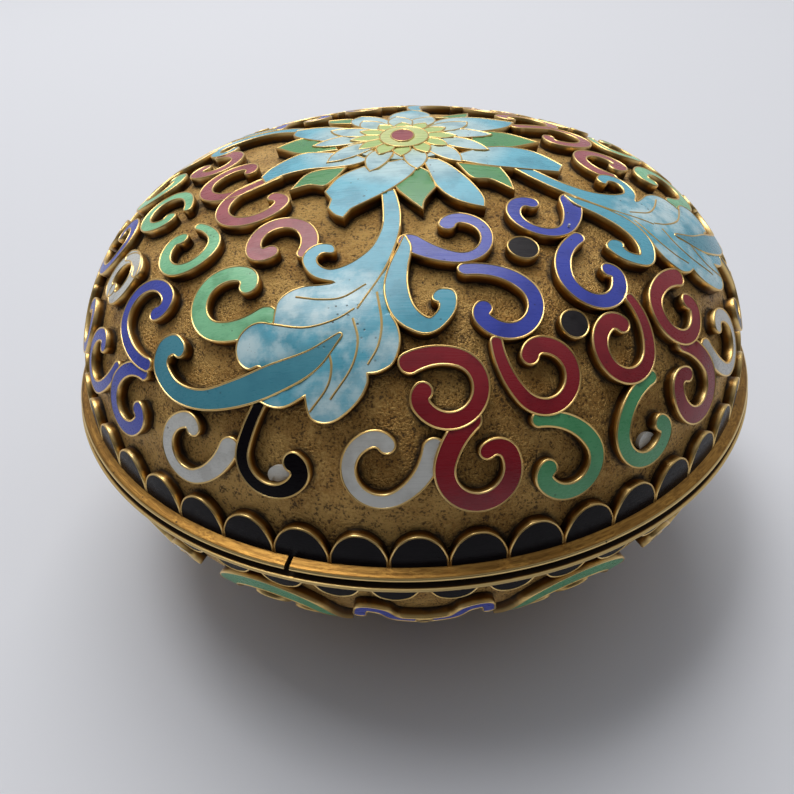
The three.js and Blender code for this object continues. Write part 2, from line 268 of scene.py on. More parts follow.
def pointedPetal(degrees, length, width, base=3.0, bend=0.0):
    # straight out from the middle of the flower, bend bows it to one side
    side = [(base, 0.3), (0.5 * (base + length), 0.52), (length * 0.86, 0.34), (length, 0)]
    angle = math.radians(degrees)

    def turned(along, across):
        across = across * width + bend * math.sin(math.pi * along / length)
        x = along * math.sin(angle) + across * math.cos(angle)
        y = along * math.cos(angle) - across * math.sin(angle)
        return x, y
    out = [turned(along, across) for along, across in side]
    back = [turned(along, -across) for along, across in reversed(side)]
    return closedOutline([out, back, [back[-1], out[0]]])


# Wires and enamel

wire = {
    "width": 0.19,
    "profile": [(0, None), (0, -0.1), (0.04, -0.015), (0.095, 0.01), (0.15, -0.015), (0.19, -0.08),
                (0.19, -0.35)],
    "veinWidth": 0.17,
}
enamel = {"below": 0.035, "spacing": 0.55}


def inwardNormals(outline, closed=True):
    before = np.roll(outline, 1, axis=0)
    after = np.roll(outline, -1, axis=0)
    if not closed:
        before[0] = outline[0]
        after[-1] = outline[-1]
    first = outline - before
    second = after - outline
    if not closed:
        first[0] = second[0]
        second[-1] = first[-1]
    first /= np.maximum(np.hypot(*first.T), 1e-9)[:, None]
    second /= np.maximum(np.hypot(*second.T), 1e-9)[:, None]
    mean = first + second
    length = np.maximum(np.hypot(*mean.T), 0.9)[:, None]
    mean = 2 * mean / length ** 2
    return np.stack([-mean[:, 1], mean[:, 0]], 1)


def addWire(heap, outline, place, rank=0, flip=False, closed=True, rows=None):
    normals = inwardNormals(outline, closed)
    bottom = -cellForm["height"] - cellForm["root"]
    rows = rows or wire["profile"]
    lift = rank * cellForm["rank"]
    points = []
    depth = []
    for inset, height in rows:
        top = bottom if height is None else height
        points.append(place(outline + normals * inset, lift * (height is not None) + top))
        depth.append(np.full(len(outline), min(1, max(0, -top / cellForm["height"]))))
    count = len(outline)
    faces = []
    for row in range(len(rows)):
        following = (row + 1) % len(rows)
        for i in range(count if closed else count - 1):
            j = (i + 1) % count
            faces.append((row * count + i, row * count + j, following * count + j, following * count + i))
    if not closed:
        faces.append([row * count for row in range(len(rows))])
        faces.append([row * count + count - 1 for row in reversed(range(len(rows)))])
    addToHeap(heap, np.vstack(points), faces, flip, depth=np.concatenate(depth))


def insideOutline(points, outline):
    x = points[:, :1]
    y = points[:, 1:]
    ax, ay = outline.T
    bx, by = np.roll(outline, -1, axis=0).T
    rise = np.where(by == ay, 1e-12, by - ay)
    crosses = ((ay > y) != (by > y)) & (x < ax + (y - ay) * (bx - ax) / rise)
    return crosses.sum(1) % 2 == 1


def filled(outline):
    # a flat fill of the outline, inset to the middle of its wire, with points inside for the curve
    inset = outline + inwardNormals(outline) * (wire["width"] * 0.4)
    gap = enamel["spacing"]
    low = inset.min(0)
    high = inset.max(0)
    xs = np.arange(low[0] + gap / 2, high[0], gap)
    ys = np.arange(low[1] + gap / 2, high[1], gap * 0.87)
    grid = np.stack(np.meshgrid(xs, ys), -1)
    grid[1::2, :, 0] += gap / 2
    grid = grid.reshape(-1, 2)
    grid = grid[insideOutline(grid, inset)]
    if len(grid):
        nearest = np.min(np.hypot(*(grid[:, None] - inset[None]).transpose(2, 0, 1)), axis=1)
        grid = grid[nearest > gap * 0.45]
    points = [tuple(p) for p in np.vstack([inset, grid])]
    loop = [(i, (i + 1) % len(inset)) for i in range(len(inset))]
    made = delaunay_2d_cdt(points, loop, [], 0, 1e-6, False)
    flat = np.array([tuple(p) for p in made[0]])
    corners = np.array([tuple(face) for face in made[2]])
    corners = corners[insideOutline(flat[corners].mean(1), inset)]
    faces = [tuple(face) for face in corners.tolist()]
    used = {}
    for face in faces:
        for a, b in zip(face, face[1:] + face[:1]):
            used[(a, b)] = True
    border = [edge for edge in used if edge[::-1] not in used]
    return flat, faces, border


def addFill(heap, shape, place, rank=0, flip=False, below=None, **marks):
    flat, faces, border = shape
    top = rank * cellForm["rank"] - (enamel["below"] if below is None else below)
    bottom = -cellForm["height"] - cellForm["root"]
    count = len(flat)
    points = np.vstack([place(flat, top), place(flat, bottom)])
    sides = [(b, a, a + count, b + count) for a, b in border]
    under = [tuple(i + count for i in reversed(face)) for face in faces]
    values = {name: np.tile(np.broadcast_to(value, (count,)), 2) for name, value in marks.items()}
    addToHeap(heap, points, faces + sides + under, flip, **values)


print("tools ready")

# The lid's pattern: one quarter is drawn, then mirrored, then both are turned half round

mirrorAxis = 26.3
pattern = []               # every cell on the lid, in the order it is cut
bowlPattern = []

scrolls = {
    # colour, rank, [degrees, distance from the apex], arc, tail, curl, widths
    "cobaltUpper": ("cobalt", 6, [13, 17.25], [2.3, -110, 65], [7, 25], [1, 88], [2.2, 1.15, 1.5]),
    "cobaltLower": ("cobalt", 5, [16.9, 24.3], [2.25, 25, -150], [4.5, 45], [0.75, 90], [1.3, 1.4, 1.6]),
    "brickUpper": ("brick", 7, [5.2, 29.95], [2.25, 70, -150], [4, 30], [0.8, 80], [1.7, 1.35, 1.5]),
    "brickMiddle": ("brick", 6, [19, 30.15], [2.2, -150, 75], [6, 28], [1, 80], [1, 1.35, 1.5]),
    "brickLower": ("brick", 5, [8.2, 35.8], [2.4, 160, 380], [6, 20], [1, 110], [1.7, 1.6, 1.3]),
    "jade": ("jade", 4, [20.1, 36.6], [2.25, 25, -150], [4.5, 45], [0.8, 90], [1.2, 1.4, 1.5]),
    "whiteInner": ("white", 3, [-4, 35.5], [2.3, -60, -250], [5, 35], [1, 75], [1.7, 1.2, 1.4]),
    "whiteOuter": ("white", 3, [-31.3, 36.8], [2.2, -65, -250], [5, 35], [0.8, 80], [1.8, 1.3, 1.4]),
    "black": ("black", 4, [-18.3, 35.6], [2.4, 170, 330], [20, 8], [0.9, 100], [1, 1.2, 1.7]),
    # the rose scrolls: the brick enamel made lighter, partly their own colour and partly a painted sheen
    "roseInner": ("rose", 5, [-32.5, 18.7], [2.2, 60, 230], [3.5, 35], [0.9, 105], [1.5, 1.4, 1.6]),
    "roseOuter": ("rose", 6, [-53.9, 16.2], [2.75, 175, 385], [15, 8], [1.1, 95], [1.3, 1.4, 1.3]),
    "mintInner": ("mint", 4, [-33.3, 25.25], [2.55, -80, -260], [5, 30], [1.1, 85], [2.1, 1.6, 1.6]),
    "mintOuter": ("mint", 4, [-52.5, 22.95], [2.3, 80, -160], [4, 15], [0.9, 70], [0.9, 1.3, 1.4]),
    "cobaltSide": ("cobalt", 5, [-49.2, 29.3], [2.6, -120, -295], [7, 28], [1, 120], [1.2, 1.2, 1.4]),
    "cobaltHook": ("cobalt", 4, [-45.3, 36], [2.3, 150, 330], [3.4, 50], [0.8, 95], [1.2, 1.4, 1.4]),
    "cobaltEdge": ("cobalt", 3, [-57.5, 35.8], [2.3, -60, -250], [6, 30], [0.9, 90], [1.2, 1.2, 1.3]),
    "whiteArch": ("white", 2, [-64.3, 29.1], [2.15, 110, -40], [2.15, 20], [0.8, 110], [1.3, 1.3, 1.3]),
}
leaf = {
    "at": [-17, 24],
    # x across and distance from the apex; a new stroke starts at each corner
    "outline": [
        [(1.2, 11), (1.9, 13), (2.5, 15), (2.65, 16.5), (2.5, 18), (1.9, 19.2), (1.2, 20), (0.4, 20.5),
         (-0.2, 20.5), (-0.8, 20.2), (-1.1, 19.7), (-0.95, 19.2), (-0.7, 19.1), (-0.1, 19), (0, 18.6),
         (-0.3, 18.1), (-0.9, 17.95), (-1.7, 18.2), (-2.3, 19), (-2.4, 19.9), (-2, 20.7), (-1.2, 21.4),
         (-0.3, 21.75), (0.9, 21.85)],
        [(0.9, 21.85), (0, 22.15), (-1.2, 22.5), (-2.2, 23.2), (-2.8, 24.2), (-2.75, 25.2), (-2.6, 26)],
        [(-2.6, 26), (-3.6, 26.1), (-4.4, 26.6), (-4.95, 27.5), (-5, 28.5), (-4.6, 29.3), (-4, 29.7),
         (-3.4, 29.75), (-2.7, 29.4), (-2.2, 30), (-2.4, 31.7)],
        [(-2.4, 31.7), (-1.5, 31.95), (-0.6, 31.95), (0.2, 31.6), (1.1, 30.9)],
        [(1.1, 30.9), (1.4, 31.7), (1.8, 32.3), (2.5, 32.55), (3.4, 32.4), (4.3, 31.7), (5.1, 30.6),
         (5.4, 29.5), (5.3, 28.9)],
        [(5.3, 28.9), (6, 28.75), (6.8, 28.2), (7.05, 27.2), (6.95, 26.2), (6.5, 25.2), (5.9, 24.4)],
        [(5.9, 24.4), (5, 22), (4.5, 19), (4.35, 17), (4.15, 15.5), (3.6, 13.5), (2.8, 11.6),
         (2.2, 10.4)],
        [(2.2, 10.4), (1.2, 11)],
    ],
    # rank, colour, rows of (x, distance, width)
    "tendrils": [
        (8, "teal", [(2.6, 26.2, 0.6), (1, 28.3, 1.8), (-1.5, 30, 2.3), (-4, 31.5, 2.1), (-7, 32.8, 1.6),
                     (-9.8, 33, 1.6), (-11.7, 32, 1.8), (-11.8, 30.7, 1.7), (-10.9, 29.9, 1.6),
                     (-10.25, 30, 1.5)]),
        (9, "aqua", [(4.75, 16.8, 0.4), (5.1, 18.2, 1.2), (5.2, 20.2, 1.6), (5.6, 22.2, 1.8),
                     (6.6, 24.1, 1.7), (8, 25.2, 1.4), (9, 25.3, 1.4), (9.7, 24.3, 1.4), (9.5, 23.2, 1.4),
                     (8.95, 22.95, 1.3)]),
    ],
    "veins": [
        [(-1.5, 23.6), (0.5, 23.5), (2, 23.1), (3.3, 21.8)],
        [(-2.6, 26.1), (0, 25.9), (2, 25), (3.1, 24)],
        [(2, 27.2), (2.6, 28.5), (2.6, 30), (1.7, 31.8)],
        [(3.2, 24.8), (4, 26.5), (4, 28.5), (3, 30.8)],
        [(4.3, 22.5), (5.3, 25), (5.5, 26.8), (5.1, 28.2)],
        [(3.3, 24), (4, 21.5), (4.3, 19.5), (4.3, 17)],
    ],
    # where the leaf is paler, partly its own enamel and partly a painted highlight: x, distance, reach,
    # strength
    "pale": [(-2, 24.2, 2.2, 0.9), (0.8, 24.6, 2, 0.7), (-4.2, 28, 1.7, 0.75), (-1.8, 28, 1.6, 0.45),
             (2.5, 23, 2.2, 0.8), (2.6, 31.2, 1.8, 0.8), (4.6, 29.5, 1.6, 0.6), (6.2, 26.8, 1.6, 0.7),
             (3.4, 27, 1.5, 0.35), (-0.8, 31.5, 1, 0.2)],
}
leafRank = 7
tucks = {"cobaltUpper": 0.4, "whiteArch": 0, "roseInner": 0.9, "cobaltHook": 0.9}   # how far tails run on

# x to the right and y to the front, flat over the crown
lotus = {
    "petals": [
        # rank and strokes
        (11, [[(0.3, 5), (-1, 5.6), (-3.4, 6.2), (-5.6, 7.7), (-6.8, 10)],
              [(-6.8, 10), (-6.2, 11.3)], [(-6.2, 11.3), (-6.4, 12.5)],
              [(-6.4, 12.5), (-5.8, 13.5), (-5, 14.1)], [(-5, 14.1), (-4.4, 13)],
              [(-4.4, 13), (-1.4, 10.7), (0.6, 8.2), (1.35, 6)], [(1.35, 6), (0.3, 5)]]),
        (10, [[(1.5, 5), (1.8, 7), (2.5, 10), (3.6, 11.8), (5, 12.7), (6.4, 13.1)],
              [(6.4, 13.1), (6.4, 11.5), (5.4, 9), (4, 6.6), (3, 5.4)], [(3, 5.4), (1.5, 5)]]),
        (10, [[(4.9, 4), (7.2, 2.4), (9.3, 1.8), (11.3, 2), (12.7, 2.9), (14.2, 4.5)],
              [(14.2, 4.5), (13.6, 6)], [(13.6, 6), (11.3, 6.3), (8.8, 6.4), (6.5, 6.2), (4, 5.3)],
              [(4, 5.3), (4.9, 4)]]),
        (10, [[(-4.5, 3.6), (-7.5, 2.2), (-9.6, 1.8), (-11.9, 3.6), (-12.9, 5.3)],
              [(-12.9, 5.3), (-12.3, 6.8)], [(-12.3, 6.8), (-10.7, 5.9), (-8.5, 5.6), (-6.2, 5.9),
                                             (-4.4, 5.8), (-3, 5)], [(-3, 5), (-4.5, 3.6)]]),
        (10, [[(-4, 1), (-7, -0.2), (-9.4, -2.2), (-11, -4.4), (-11, -6.6)],
              [(-11, -6.6), (-9, -6.2), (-6.6, -5), (-4, -2.6)], [(-4, -2.6), (-4, 1)]]),
        (10, [[(-3.4, -2.6), (-5, -5), (-5.4, -7.2), (-4.4, -8.9)],
              [(-4.4, -8.9), (-2.6, -7.6), (-1.4, -5.6), (-1, -3.6)], [(-1, -3.6), (-3.4, -2.6)]]),
        (11, [[(-1.2, -3.8), (-1.6, -6.4), (-1, -9), (0.9, -11.2)],
              [(0.9, -11.2), (2.4, -9.2), (2.8, -6.8), (2, -3.8)], [(2, -3.8), (-1.2, -3.8)]]),
        (10, [[(2, -3.4), (4.2, -6.2), (7, -7.4), (11.3, -7.1)],
              [(11.3, -7.1), (10.2, -4.4), (7.8, -2.2), (4.6, -1)], [(4.6, -1), (2, -3.4)]]),
    ],
    "sepals": [
        [[(-0.8, 8), (-0.9, 10), (0, 11.7), (1.4, 13.6)], [(1.4, 13.6), (1.6, 12.2), (2.6, 10.2)],
         [(2.6, 10.2), (2.2, 8), (1.3, 6.8)], [(1.3, 6.8), (-0.8, 8)]],
        [[(4.4, 6), (5.6, 8.6), (7.2, 8.8), (9.1, 10.3)], [(9.1, 10.3), (8.9, 8.4), (8.3, 6.4)],
         [(8.3, 6.4), (4.4, 6)]],
        [[(-5, 6), (-8.3, 6.2), (-9.9, 8.9)], [(-9.9, 8.9), (-8.2, 8.5), (-6.8, 9), (-5.7, 7.6)],
         [(-5.7, 7.6), (-5, 6)]],
        [[(6, 2.6), (9.6, 1.9), (12.8, -0.6)], [(12.8, -0.6), (9.6, -2.2), (6.4, -1.8)],
         [(6.4, -1.8), (6, 2.6)]],
        [[(-6, 2.2), (-9.6, 1.7), (-12.4, -1.4)], [(-12.4, -1.4), (-10, -2.8), (-7, -2)],
         [(-7, -2), (-6, 2.2)]],
        [[(3, -6.4), (5, -8.2), (6.8, -9.8)], [(6.8, -9.8), (6.6, -8), (6, -6.4)],
         [(6, -6.4), (3, -6.4)]],
        [[(-5, -5.6), (-7.4, -7), (-7.9, -8.9)], [(-7.9, -8.9), (-5.6, -8.2), (-4.4, -7)],
         [(-4.4, -7), (-5, -5.6)]],
    ],
    # degrees from the front, length, width, bend of the small petals; then the yellow tier
    "small": [(8, 6.6, 1.9, 0.3), (-22, 7.2, 2, -0.4), (40, 6.9, 2, 0.3), (68, 7.4, 2.2, 0.4),
              (98, 7.6, 2.3, 0.3), (128, 7.2, 2.3, -0.3), (157, 6.6, 2.2, 0.2), (186, 6.3, 2.2, -0.2),
              (214, 6.6, 2.2, 0.3), (243, 7.2, 2.3, 0.3), (272, 7.8, 2.3, -0.3), (305, 7.6, 2.2, -0.4)],
    "yellow": [(-4, 4.9, 1.7, 0), (26, 4.8, 1.6, 0.2), (57, 4.8, 1.6, 0.2), (90, 5, 1.7, 0.1),
               (122, 4.8, 1.7, 0), (152, 4.6, 1.6, 0), (182, 4.5, 1.6, 0), (212, 4.6, 1.6, 0),
               (243, 4.8, 1.7, 0), (273, 5.1, 1.7, -0.1), (303, 5, 1.7, -0.2), (332, 4.9, 1.7, -0.2)],
    "ring": (2.35, 2.9),
    "heart": (1.15, 1.75, (-0.15, -0.15)),
}
discs = [[26.9, 19.75, 1.3], [26.9, 27.2, 1.2]]
lappet = {"count": 48, "start": -3.35, "height": 3.15, "half": 2.2}


def chartOf(azimuth, s):
    return np.stack([s * np.sin(azimuth), s * np.cos(azimuth)], 1)


def addCell(into, outline, colour, rank, at=None, axis=None, turn=0, section=domeSection, **more):
    def spot(xy):
        if at is None:
            return np.arctan2(xy[:, 0], xy[:, 1]), np.hypot(xy[:, 0], xy[:, 1])
        s = at[1] - xy[:, 1]
        azimuth = math.radians(at[0]) + xy[:, 0] / section(s)[0]
        if axis is not None:
            azimuth = 2 * math.radians(axis) - azimuth
        return azimuth + math.radians(turn), s
    core = outline + inwardNormals(outline) * (wire["width"] * 0.5)
    one = {
        "outline": outline, "colour": colour, "rank": rank, "spot": spot, "section": section,
        "flip": (at is None) != (axis is not None), "core": chartOf(*spot(core)),
        "veins": [], "wired": True, "fill": None, "pale": None, "low": None,
    }
    one.update(more)
    into.append(one)
    return one


quarters = [(None, 0), (mirrorAxis, 0), (None, 180), (mirrorAxis, 180)]


def inFrame(strokes, at):
    return [[(x, at[1] - s, *rest) for x, s, *rest in stroke] for stroke in strokes]


def drawQuarters(outline, colour, rank, at, **more):
    fill = filled(outline)
    for axis, turn in quarters:
        addCell(pattern, outline, colour, rank, at, axis, turn, fill=fill, **more)


for name, (colour, rank, at, arc, tail, curl, width) in scrolls.items():
    rows = scrollRows(arc, tail, curl, width, tuck=tucks.get(name, 1.3))
    drawQuarters(bandOutline(rows), colour, rank, at)

leafLines = [curveThrough(stroke) for stroke in inFrame(leaf["veins"], leaf["at"])]
leafPaleAndHighlight = [(x, leaf["at"][1] - s, reach, much) for x, s, reach, much in leaf["pale"]]
drawQuarters(closedOutline(inFrame(leaf["outline"], leaf["at"])), "leaf", leafRank, leaf["at"],
             veins=leafLines, pale=leafPaleAndHighlight)
for rank, colour, rows in leaf["tendrils"]:
    placed = [(x, leaf["at"][1] - s, w) for x, s, w in rows]
    drawQuarters(bandOutline(bandRows(placed)), colour, rank, leaf["at"])
for at in discs:
    outline = oval(at[2], at[2])
    fill = filled(outline)
    for turn in (0, 180):
        addCell(pattern, outline, "slate", 3, at[:2], turn=turn, fill=fill)

for strokes in lotus["sepals"]:
    addCell(pattern, closedOutline(strokes), "sepal", 9)
for rank, strokes in lotus["petals"]:
    addCell(pattern, closedOutline(strokes), "petal", rank)
addCell(pattern, oval(5.4, 5.4), "inner", 11.5, wired=False)
for i, (degrees, length, width, bend) in enumerate(lotus["small"]):
    addCell(pattern, pointedPetal(degrees, length + 0.9, width * 1.12, 2.2, bend), "inner", 12 + i % 2)
for i, (degrees, length, width, bend) in enumerate(lotus["yellow"]):
    addCell(pattern, pointedPetal(degrees, length, width, 1.8, bend), "lime", 14 + i % 2)
addCell(pattern, oval(*lotus["ring"]), "lemon", 16)
addCell(pattern, oval(*lotus["heart"]), "heart", 17)

half = lappet["half"]
high = lappet["height"]
archSide = [(-half, 0), (-half, 0.5), (-half * 0.95, 1.25), (-half * 0.72, 2.3), (-half * 0.36, 2.97),
            (0, high)]
archCurve = curveThrough(archSide + [(-x, y) for x, y in archSide[-2::-1]])
lappetOutline = counterClockwise(np.vstack([archCurve, evenly(np.array([(half, 0), (-half, 0)]),
                                                              0.3)[1:-1]]))
lappetFill = filled(lappetOutline)
for k in range(lappet["count"]):
    degrees = lappet["start"] + (k + 0.5) * 360 / lappet["count"]
    addCell(pattern, lappetOutline, "night", 1, [degrees, domeLength + 0.1], fill=lappetFill,
            wired=archCurve[::-1])
# Spilt enamel in the crooks of two scrolls, and one white speck:
# scroll, mirrored, x, y, size, depth
spills = [
    ("black", False, 0.45, -1.3, 0.85, 0.5), ("jade", True, -0.4, -1.2, 0.8, 0.55),
    ("cobaltUpper", True, -0.7, -2.2, 0.17, -0.03),
]
for name, mirrored, x, y, size, low in spills:
    at = scrolls[name][2]
    outline = oval(size * 1.15, size, (x, y))
    addCell(pattern, outline, "white", 3 if low > 0 else 18, at, mirrorAxis if mirrored else None,
            wired=False, low=low, fill=filled(outline))
print("lid pattern", len(pattern), "cells")


# The bowl's pattern

pairRows = [(0, -1.7, 1.5), (2.2, -0.9, 1.1), (3.4, 0.9, 1.1), (4.9, 1.2, 1.1), (5.2, -0.1, 1.2)]
archRows = [(-5.4, -0.8, 1.3), (-3.8, 4.4, 1.9), (0, 6, 2), (3.8, 4.4, 1.9), (5.4, -0.8, 1.3)]
bowlRepeat = {"count": 8, "start": 1, "pairDepth": 5.2, "archDepth": 9.4}


def bowlCell(outline, colour, rank, at, axis=None, **more):
    # x runs round as on the lid; distance is counted down from the bowl's rim, so y still points up
    addCell(bowlPattern, outline, colour, rank, at, axis, section=bowlSection, **more)


hookOutline = bandOutline(bandRows(pairRows, 0.18))
hookFill = filled(hookOutline)
archOutline = bandOutline(bandRows(archRows, 0.18))
archFill = filled(archOutline)
curlOutline = bandOutline(scrollRows([1.3, 200, -20], [3, 12], [0.55, 80], [0.7, 0.9, 0.9], 0.18))
curlFill = filled(curlOutline)
budOutline = oval(0.75, 1.3)
budFill = filled(budOutline)
knotOutline = oval(0.62, 0.8)
knotFill = filled(knotOutline)
lowOutline = bandOutline(bandRows([(0, 2.2, 0.7), (-1.7, 1.1, 1.1), (-1.9, -0.7, 1.1),
                                   (-0.8, -1.5, 1.1)], 0.18))
lowFill = filled(lowOutline)
for k in range(bowlRepeat["count"]):
    degrees = bowlRepeat["start"] + 45 * k
    pairColour = "cobalt" if k % 2 == 0 else "white"
    pairAt = [degrees, bowlRepeat["pairDepth"]]
    archAt = [degrees + 22.5, bowlRepeat["archDepth"]]
    bowlCell(archOutline, "jade", 2, archAt, fill=archFill)
    for axis in (None, degrees):
        bowlCell(hookOutline, pairColour, 4, pairAt, axis, fill=hookFill)
        bowlCell(curlOutline, "brick" if k % 2 else "sky", 1, [degrees + 18.6, 11.2], axis, fill=curlFill)
        bowlCell(lowOutline, "aqua" if k % 2 else "cobalt", 1, [degrees + 5.5, 18.5], axis, fill=lowFill)
    bowlCell(knotOutline, "gold", 5, [degrees, 7.1], fill=knotFill)
    bowlCell(budOutline, "rose", 1, [degrees, 13.4], fill=budFill)

archSide = [(-2.02, 0), (-2, -0.35), (-1.85, -0.95), (-1.3, -1.7), (-0.6, -2.05), (0, -2.15)]
lowArch = curveThrough(archSide + [(-x, y) for x, y in archSide[-2::-1]])
borderOutline = counterClockwise(np.vstack([lowArch, evenly(np.array([(2.02, 0), (-2.02, 0)]),
                                                            0.3)[1:-1]]))
borderFill = filled(borderOutline)
for k in range(lappet["count"]):
    bowlCell(borderOutline, "night", 1, [1 + 7.5 * (k + 0.5), 0], fill=borderFill, wired=lowArch)
print("bowl pattern", len(bowlPattern), "cells")


# Where one cell laps over another, the lower one's wire ends against the upper one's


def sinkOf(chart, rank, cells):
    sunk = np.zeros(len(chart))
    low = chart.min(0)
    high = chart.max(0)
    for other in cells:
        if other["rank"] <= rank:
            continue
        core = other["core"]
        if (core.min(0) > high).any() or (core.max(0) < low).any():
            continue
        sunk[insideOutline(chart, core)] = 1
    return sunk


def buildCells(cells, wireHeap, fillHeaps, front):
    for one in cells:
        azimuth, s = one["spot"](one["outline"])
        if front is not None and (math.cos(np.mean(azimuth)) > 0) != front:
            continue
        section = one["section"]

        def place(xy, lift, one=one, section=section):
            azimuth, s = one["spot"](xy)
            sunk = sinkOf(chartOf(azimuth, s), one["rank"], cells)
            return onSurface(section, azimuth, s, lift - cellForm["sink"] * sunk)
        line = one["outline"]
        if one["wired"] is True:
            addWire(wireHeap, line, place, one["rank"], one["flip"])
        elif one["wired"] is not False:
            addWire(wireHeap, one["wired"], place, one["rank"], one["flip"], closed=False)
        for vein in one["veins"]:
            addVein(wireHeap, vein, place, one["rank"], one["flip"])
        heapName = enamelPiece[one["colour"]]
        shape = one["fill"] or filled(line)
        flat = shape[0]
        pale = np.zeros(len(flat))
        for x, y, reach, much in one["pale"] or []:
            pale = np.maximum(pale, much * np.exp(-((flat[:, 0] - x) ** 2 + (flat[:,
                                                                                  1] - y) ** 2) / reach ** 2))
        tone = enamelTone[one["colour"]]
        if one["colour"] in petalTones:
            tone = np.interp(np.hypot(*flat.T), *petalTones[one["colour"]])
        addFill(fillHeaps[heapName], shape, place, one["rank"], one["flip"], one["low"], pale=pale,
                tone=tone)


petalTones = {
    # distance from the middle of the flower, and the tone there
    "petal": ([4.5, 8, 10.5, 13], [0.84, 0.82, 0.66, 0.5]),
    "inner": ([2.5, 4, 6, 8.5], [0.98, 0.88, 0.84, 0.78]),
}


def addVein(heap, line, place, rank, flip):
    half = wire["veinWidth"] / 2
    normals = inwardNormals(line, closed=False)
    start = line - normals * half
    rows = [(0, -0.5), (0, -0.03), (half, 0.015), (2 * half, -0.03), (2 * half, -0.5)]
    addWire(heap, start, place, rank, flip, closed=False, rows=rows)

# Materials


def linear(red, green, blue):
    def one(value):
        value /= 255
        return value / 12.92 if value <= 0.04045 else ((value + 0.055) / 1.055) ** 2.4
    return (one(red), one(green), one(blue), 1)


class Sketch:
    # adds nodes to a tree and joins them by socket name
    def __init__(self, tree):
        self.tree = tree

    def add(self, kind, links=None, values=None, **settings):
        made = self.tree.nodes.new(kind)
        for name, value in settings.items():
            setattr(made, name, value)
        for name, value in (values or {}).items():
            made.inputs[name].default_value = value
        for name, source in (links or {}).items():
            self.join(source, made.inputs[name])
        return made

    def join(self, source, socket):
        output = source.outputs[0] if hasattr(source, "outputs") else source
        self.tree.links.new(output, socket)

    def mark(self, name):
        return self.add("ShaderNodeAttribute", attribute_name=name).outputs["Fac"]

    def math(self, operation, first, second=0.5, clamp=False):
        made = self.add("ShaderNodeMath", operation=operation, use_clamp=clamp)
        for socket, value in zip(made.inputs, (first, second)):
            if isinstance(value, (int, float)):
                socket.default_value = value
            else:
                self.join(value, socket)
        return made.outputs[0]

    def spread(self, value, low, high, outLow=0.0, outHigh=1.0):
        made = self.add("ShaderNodeMapRange", {"Value": value}, interpolation_type="SMOOTHSTEP")
        for name, number in zip(("From Min", "From Max", "To Min", "To Max"),
                                (low, high, outLow, outHigh)):
            made.inputs[name].default_value = number
        return made.outputs["Result"]

    def mix(self, factor, first, second, blend="MIX"):
        made = self.add("ShaderNodeMix", data_type="RGBA", blend_type=blend)
        for socket, value in ((made.inputs[0], factor), (made.inputs[6], first),
                              (made.inputs[7], second)):
            if isinstance(value, (int, float, tuple)):
                socket.default_value = value
            else:
                self.join(value, socket)
        return made.outputs[2]

    def noise(self, scale, detail=2.0, rough=0.5, stretch=None, offset=(0, 0, 0)):
        where = self.add("ShaderNodeTexCoord").outputs["Object"]
        where = self.add("ShaderNodeMapping", {"Vector": where},
                         {"Scale": stretch or (1, 1, 1), "Location": offset}).outputs[0]
        return self.add("ShaderNodeTexNoise", {"Vector": where},
                        {"Scale": scale, "Detail": detail, "Roughness": rough}).outputs["Fac"]

    def cellsOf(self, scale, offset=(0, 0, 0)):
        where = self.add("ShaderNodeTexCoord").outputs["Object"]
        where = self.add("ShaderNodeMapping", {"Vector": where}, {"Location": offset}).outputs[0]
        return self.add("ShaderNodeTexVoronoi", {"Vector": where}, {"Scale": scale}).outputs["Distance"]

    def ramp(self, value, stops):
        made = self.add("ShaderNodeValToRGB", {"Fac": value})
        parts = made.color_ramp.elements
        for i, (position, colour) in enumerate(stops):
            part = parts[i] if i < 2 else parts.new(position)
            part.position = position
            part.color = colour
        return made.outputs["Color"]


def newGroup(name, outputs, inputs=()):
    tree = bpy.data.node_groups.new(name, "ShaderNodeTree")
    for label, kind in inputs:
        tree.interface.new_socket(label, in_out="INPUT", socket_type=kind)
    for label, kind in outputs:
        tree.interface.new_socket(label, in_out="OUTPUT", socket_type=kind)
    sketch = Sketch(tree)
    entry = tree.nodes.new("NodeGroupInput")
    leave = tree.nodes.new("NodeGroupOutput")
    return tree, sketch, entry, leave


floatSocket = "NodeSocketFloat"


def grainGroup():
    # the matted ground between the cells: grains, pits, and the grime and painted shade against the walls
    outputs = [("Grain", floatSocket), ("Pits", floatSocket), ("GrimeAndShade", floatSocket),
               ("Tone", floatSocket)]
    tree, sketch, entry, leave = newGroup("grain", outputs, [("Near", floatSocket)])
    fine = sketch.noise(5000, 3, 0.62)
    coarse = sketch.noise(1500, 2, 0.55)
    grain = sketch.math("ADD", sketch.math("MULTIPLY", fine, 0.65), sketch.math("MULTIPLY", coarse, 0.35))
    pits = sketch.spread(grain, 0.475, 0.38)
    patch = sketch.noise(190, 4, 0.6)
    stain = sketch.noise(700, 3, 0.6, offset=(3, 1, 2))
    near = sketch.math("ADD", entry.outputs["Near"], sketch.math("MULTIPLY", sketch.math("SUBTRACT",
                                                                                         stain, 0.5), 0.9))
    grimeAndShade = sketch.spread(near, 0.5, 1.0)
    tone = sketch.spread(patch, 0.32, 0.68)
    for name, source in (("Grain", grain), ("Pits", pits), ("GrimeAndShade", grimeAndShade), ("Tone", tone)):
        sketch.join(source, leave.inputs[name])
    return tree


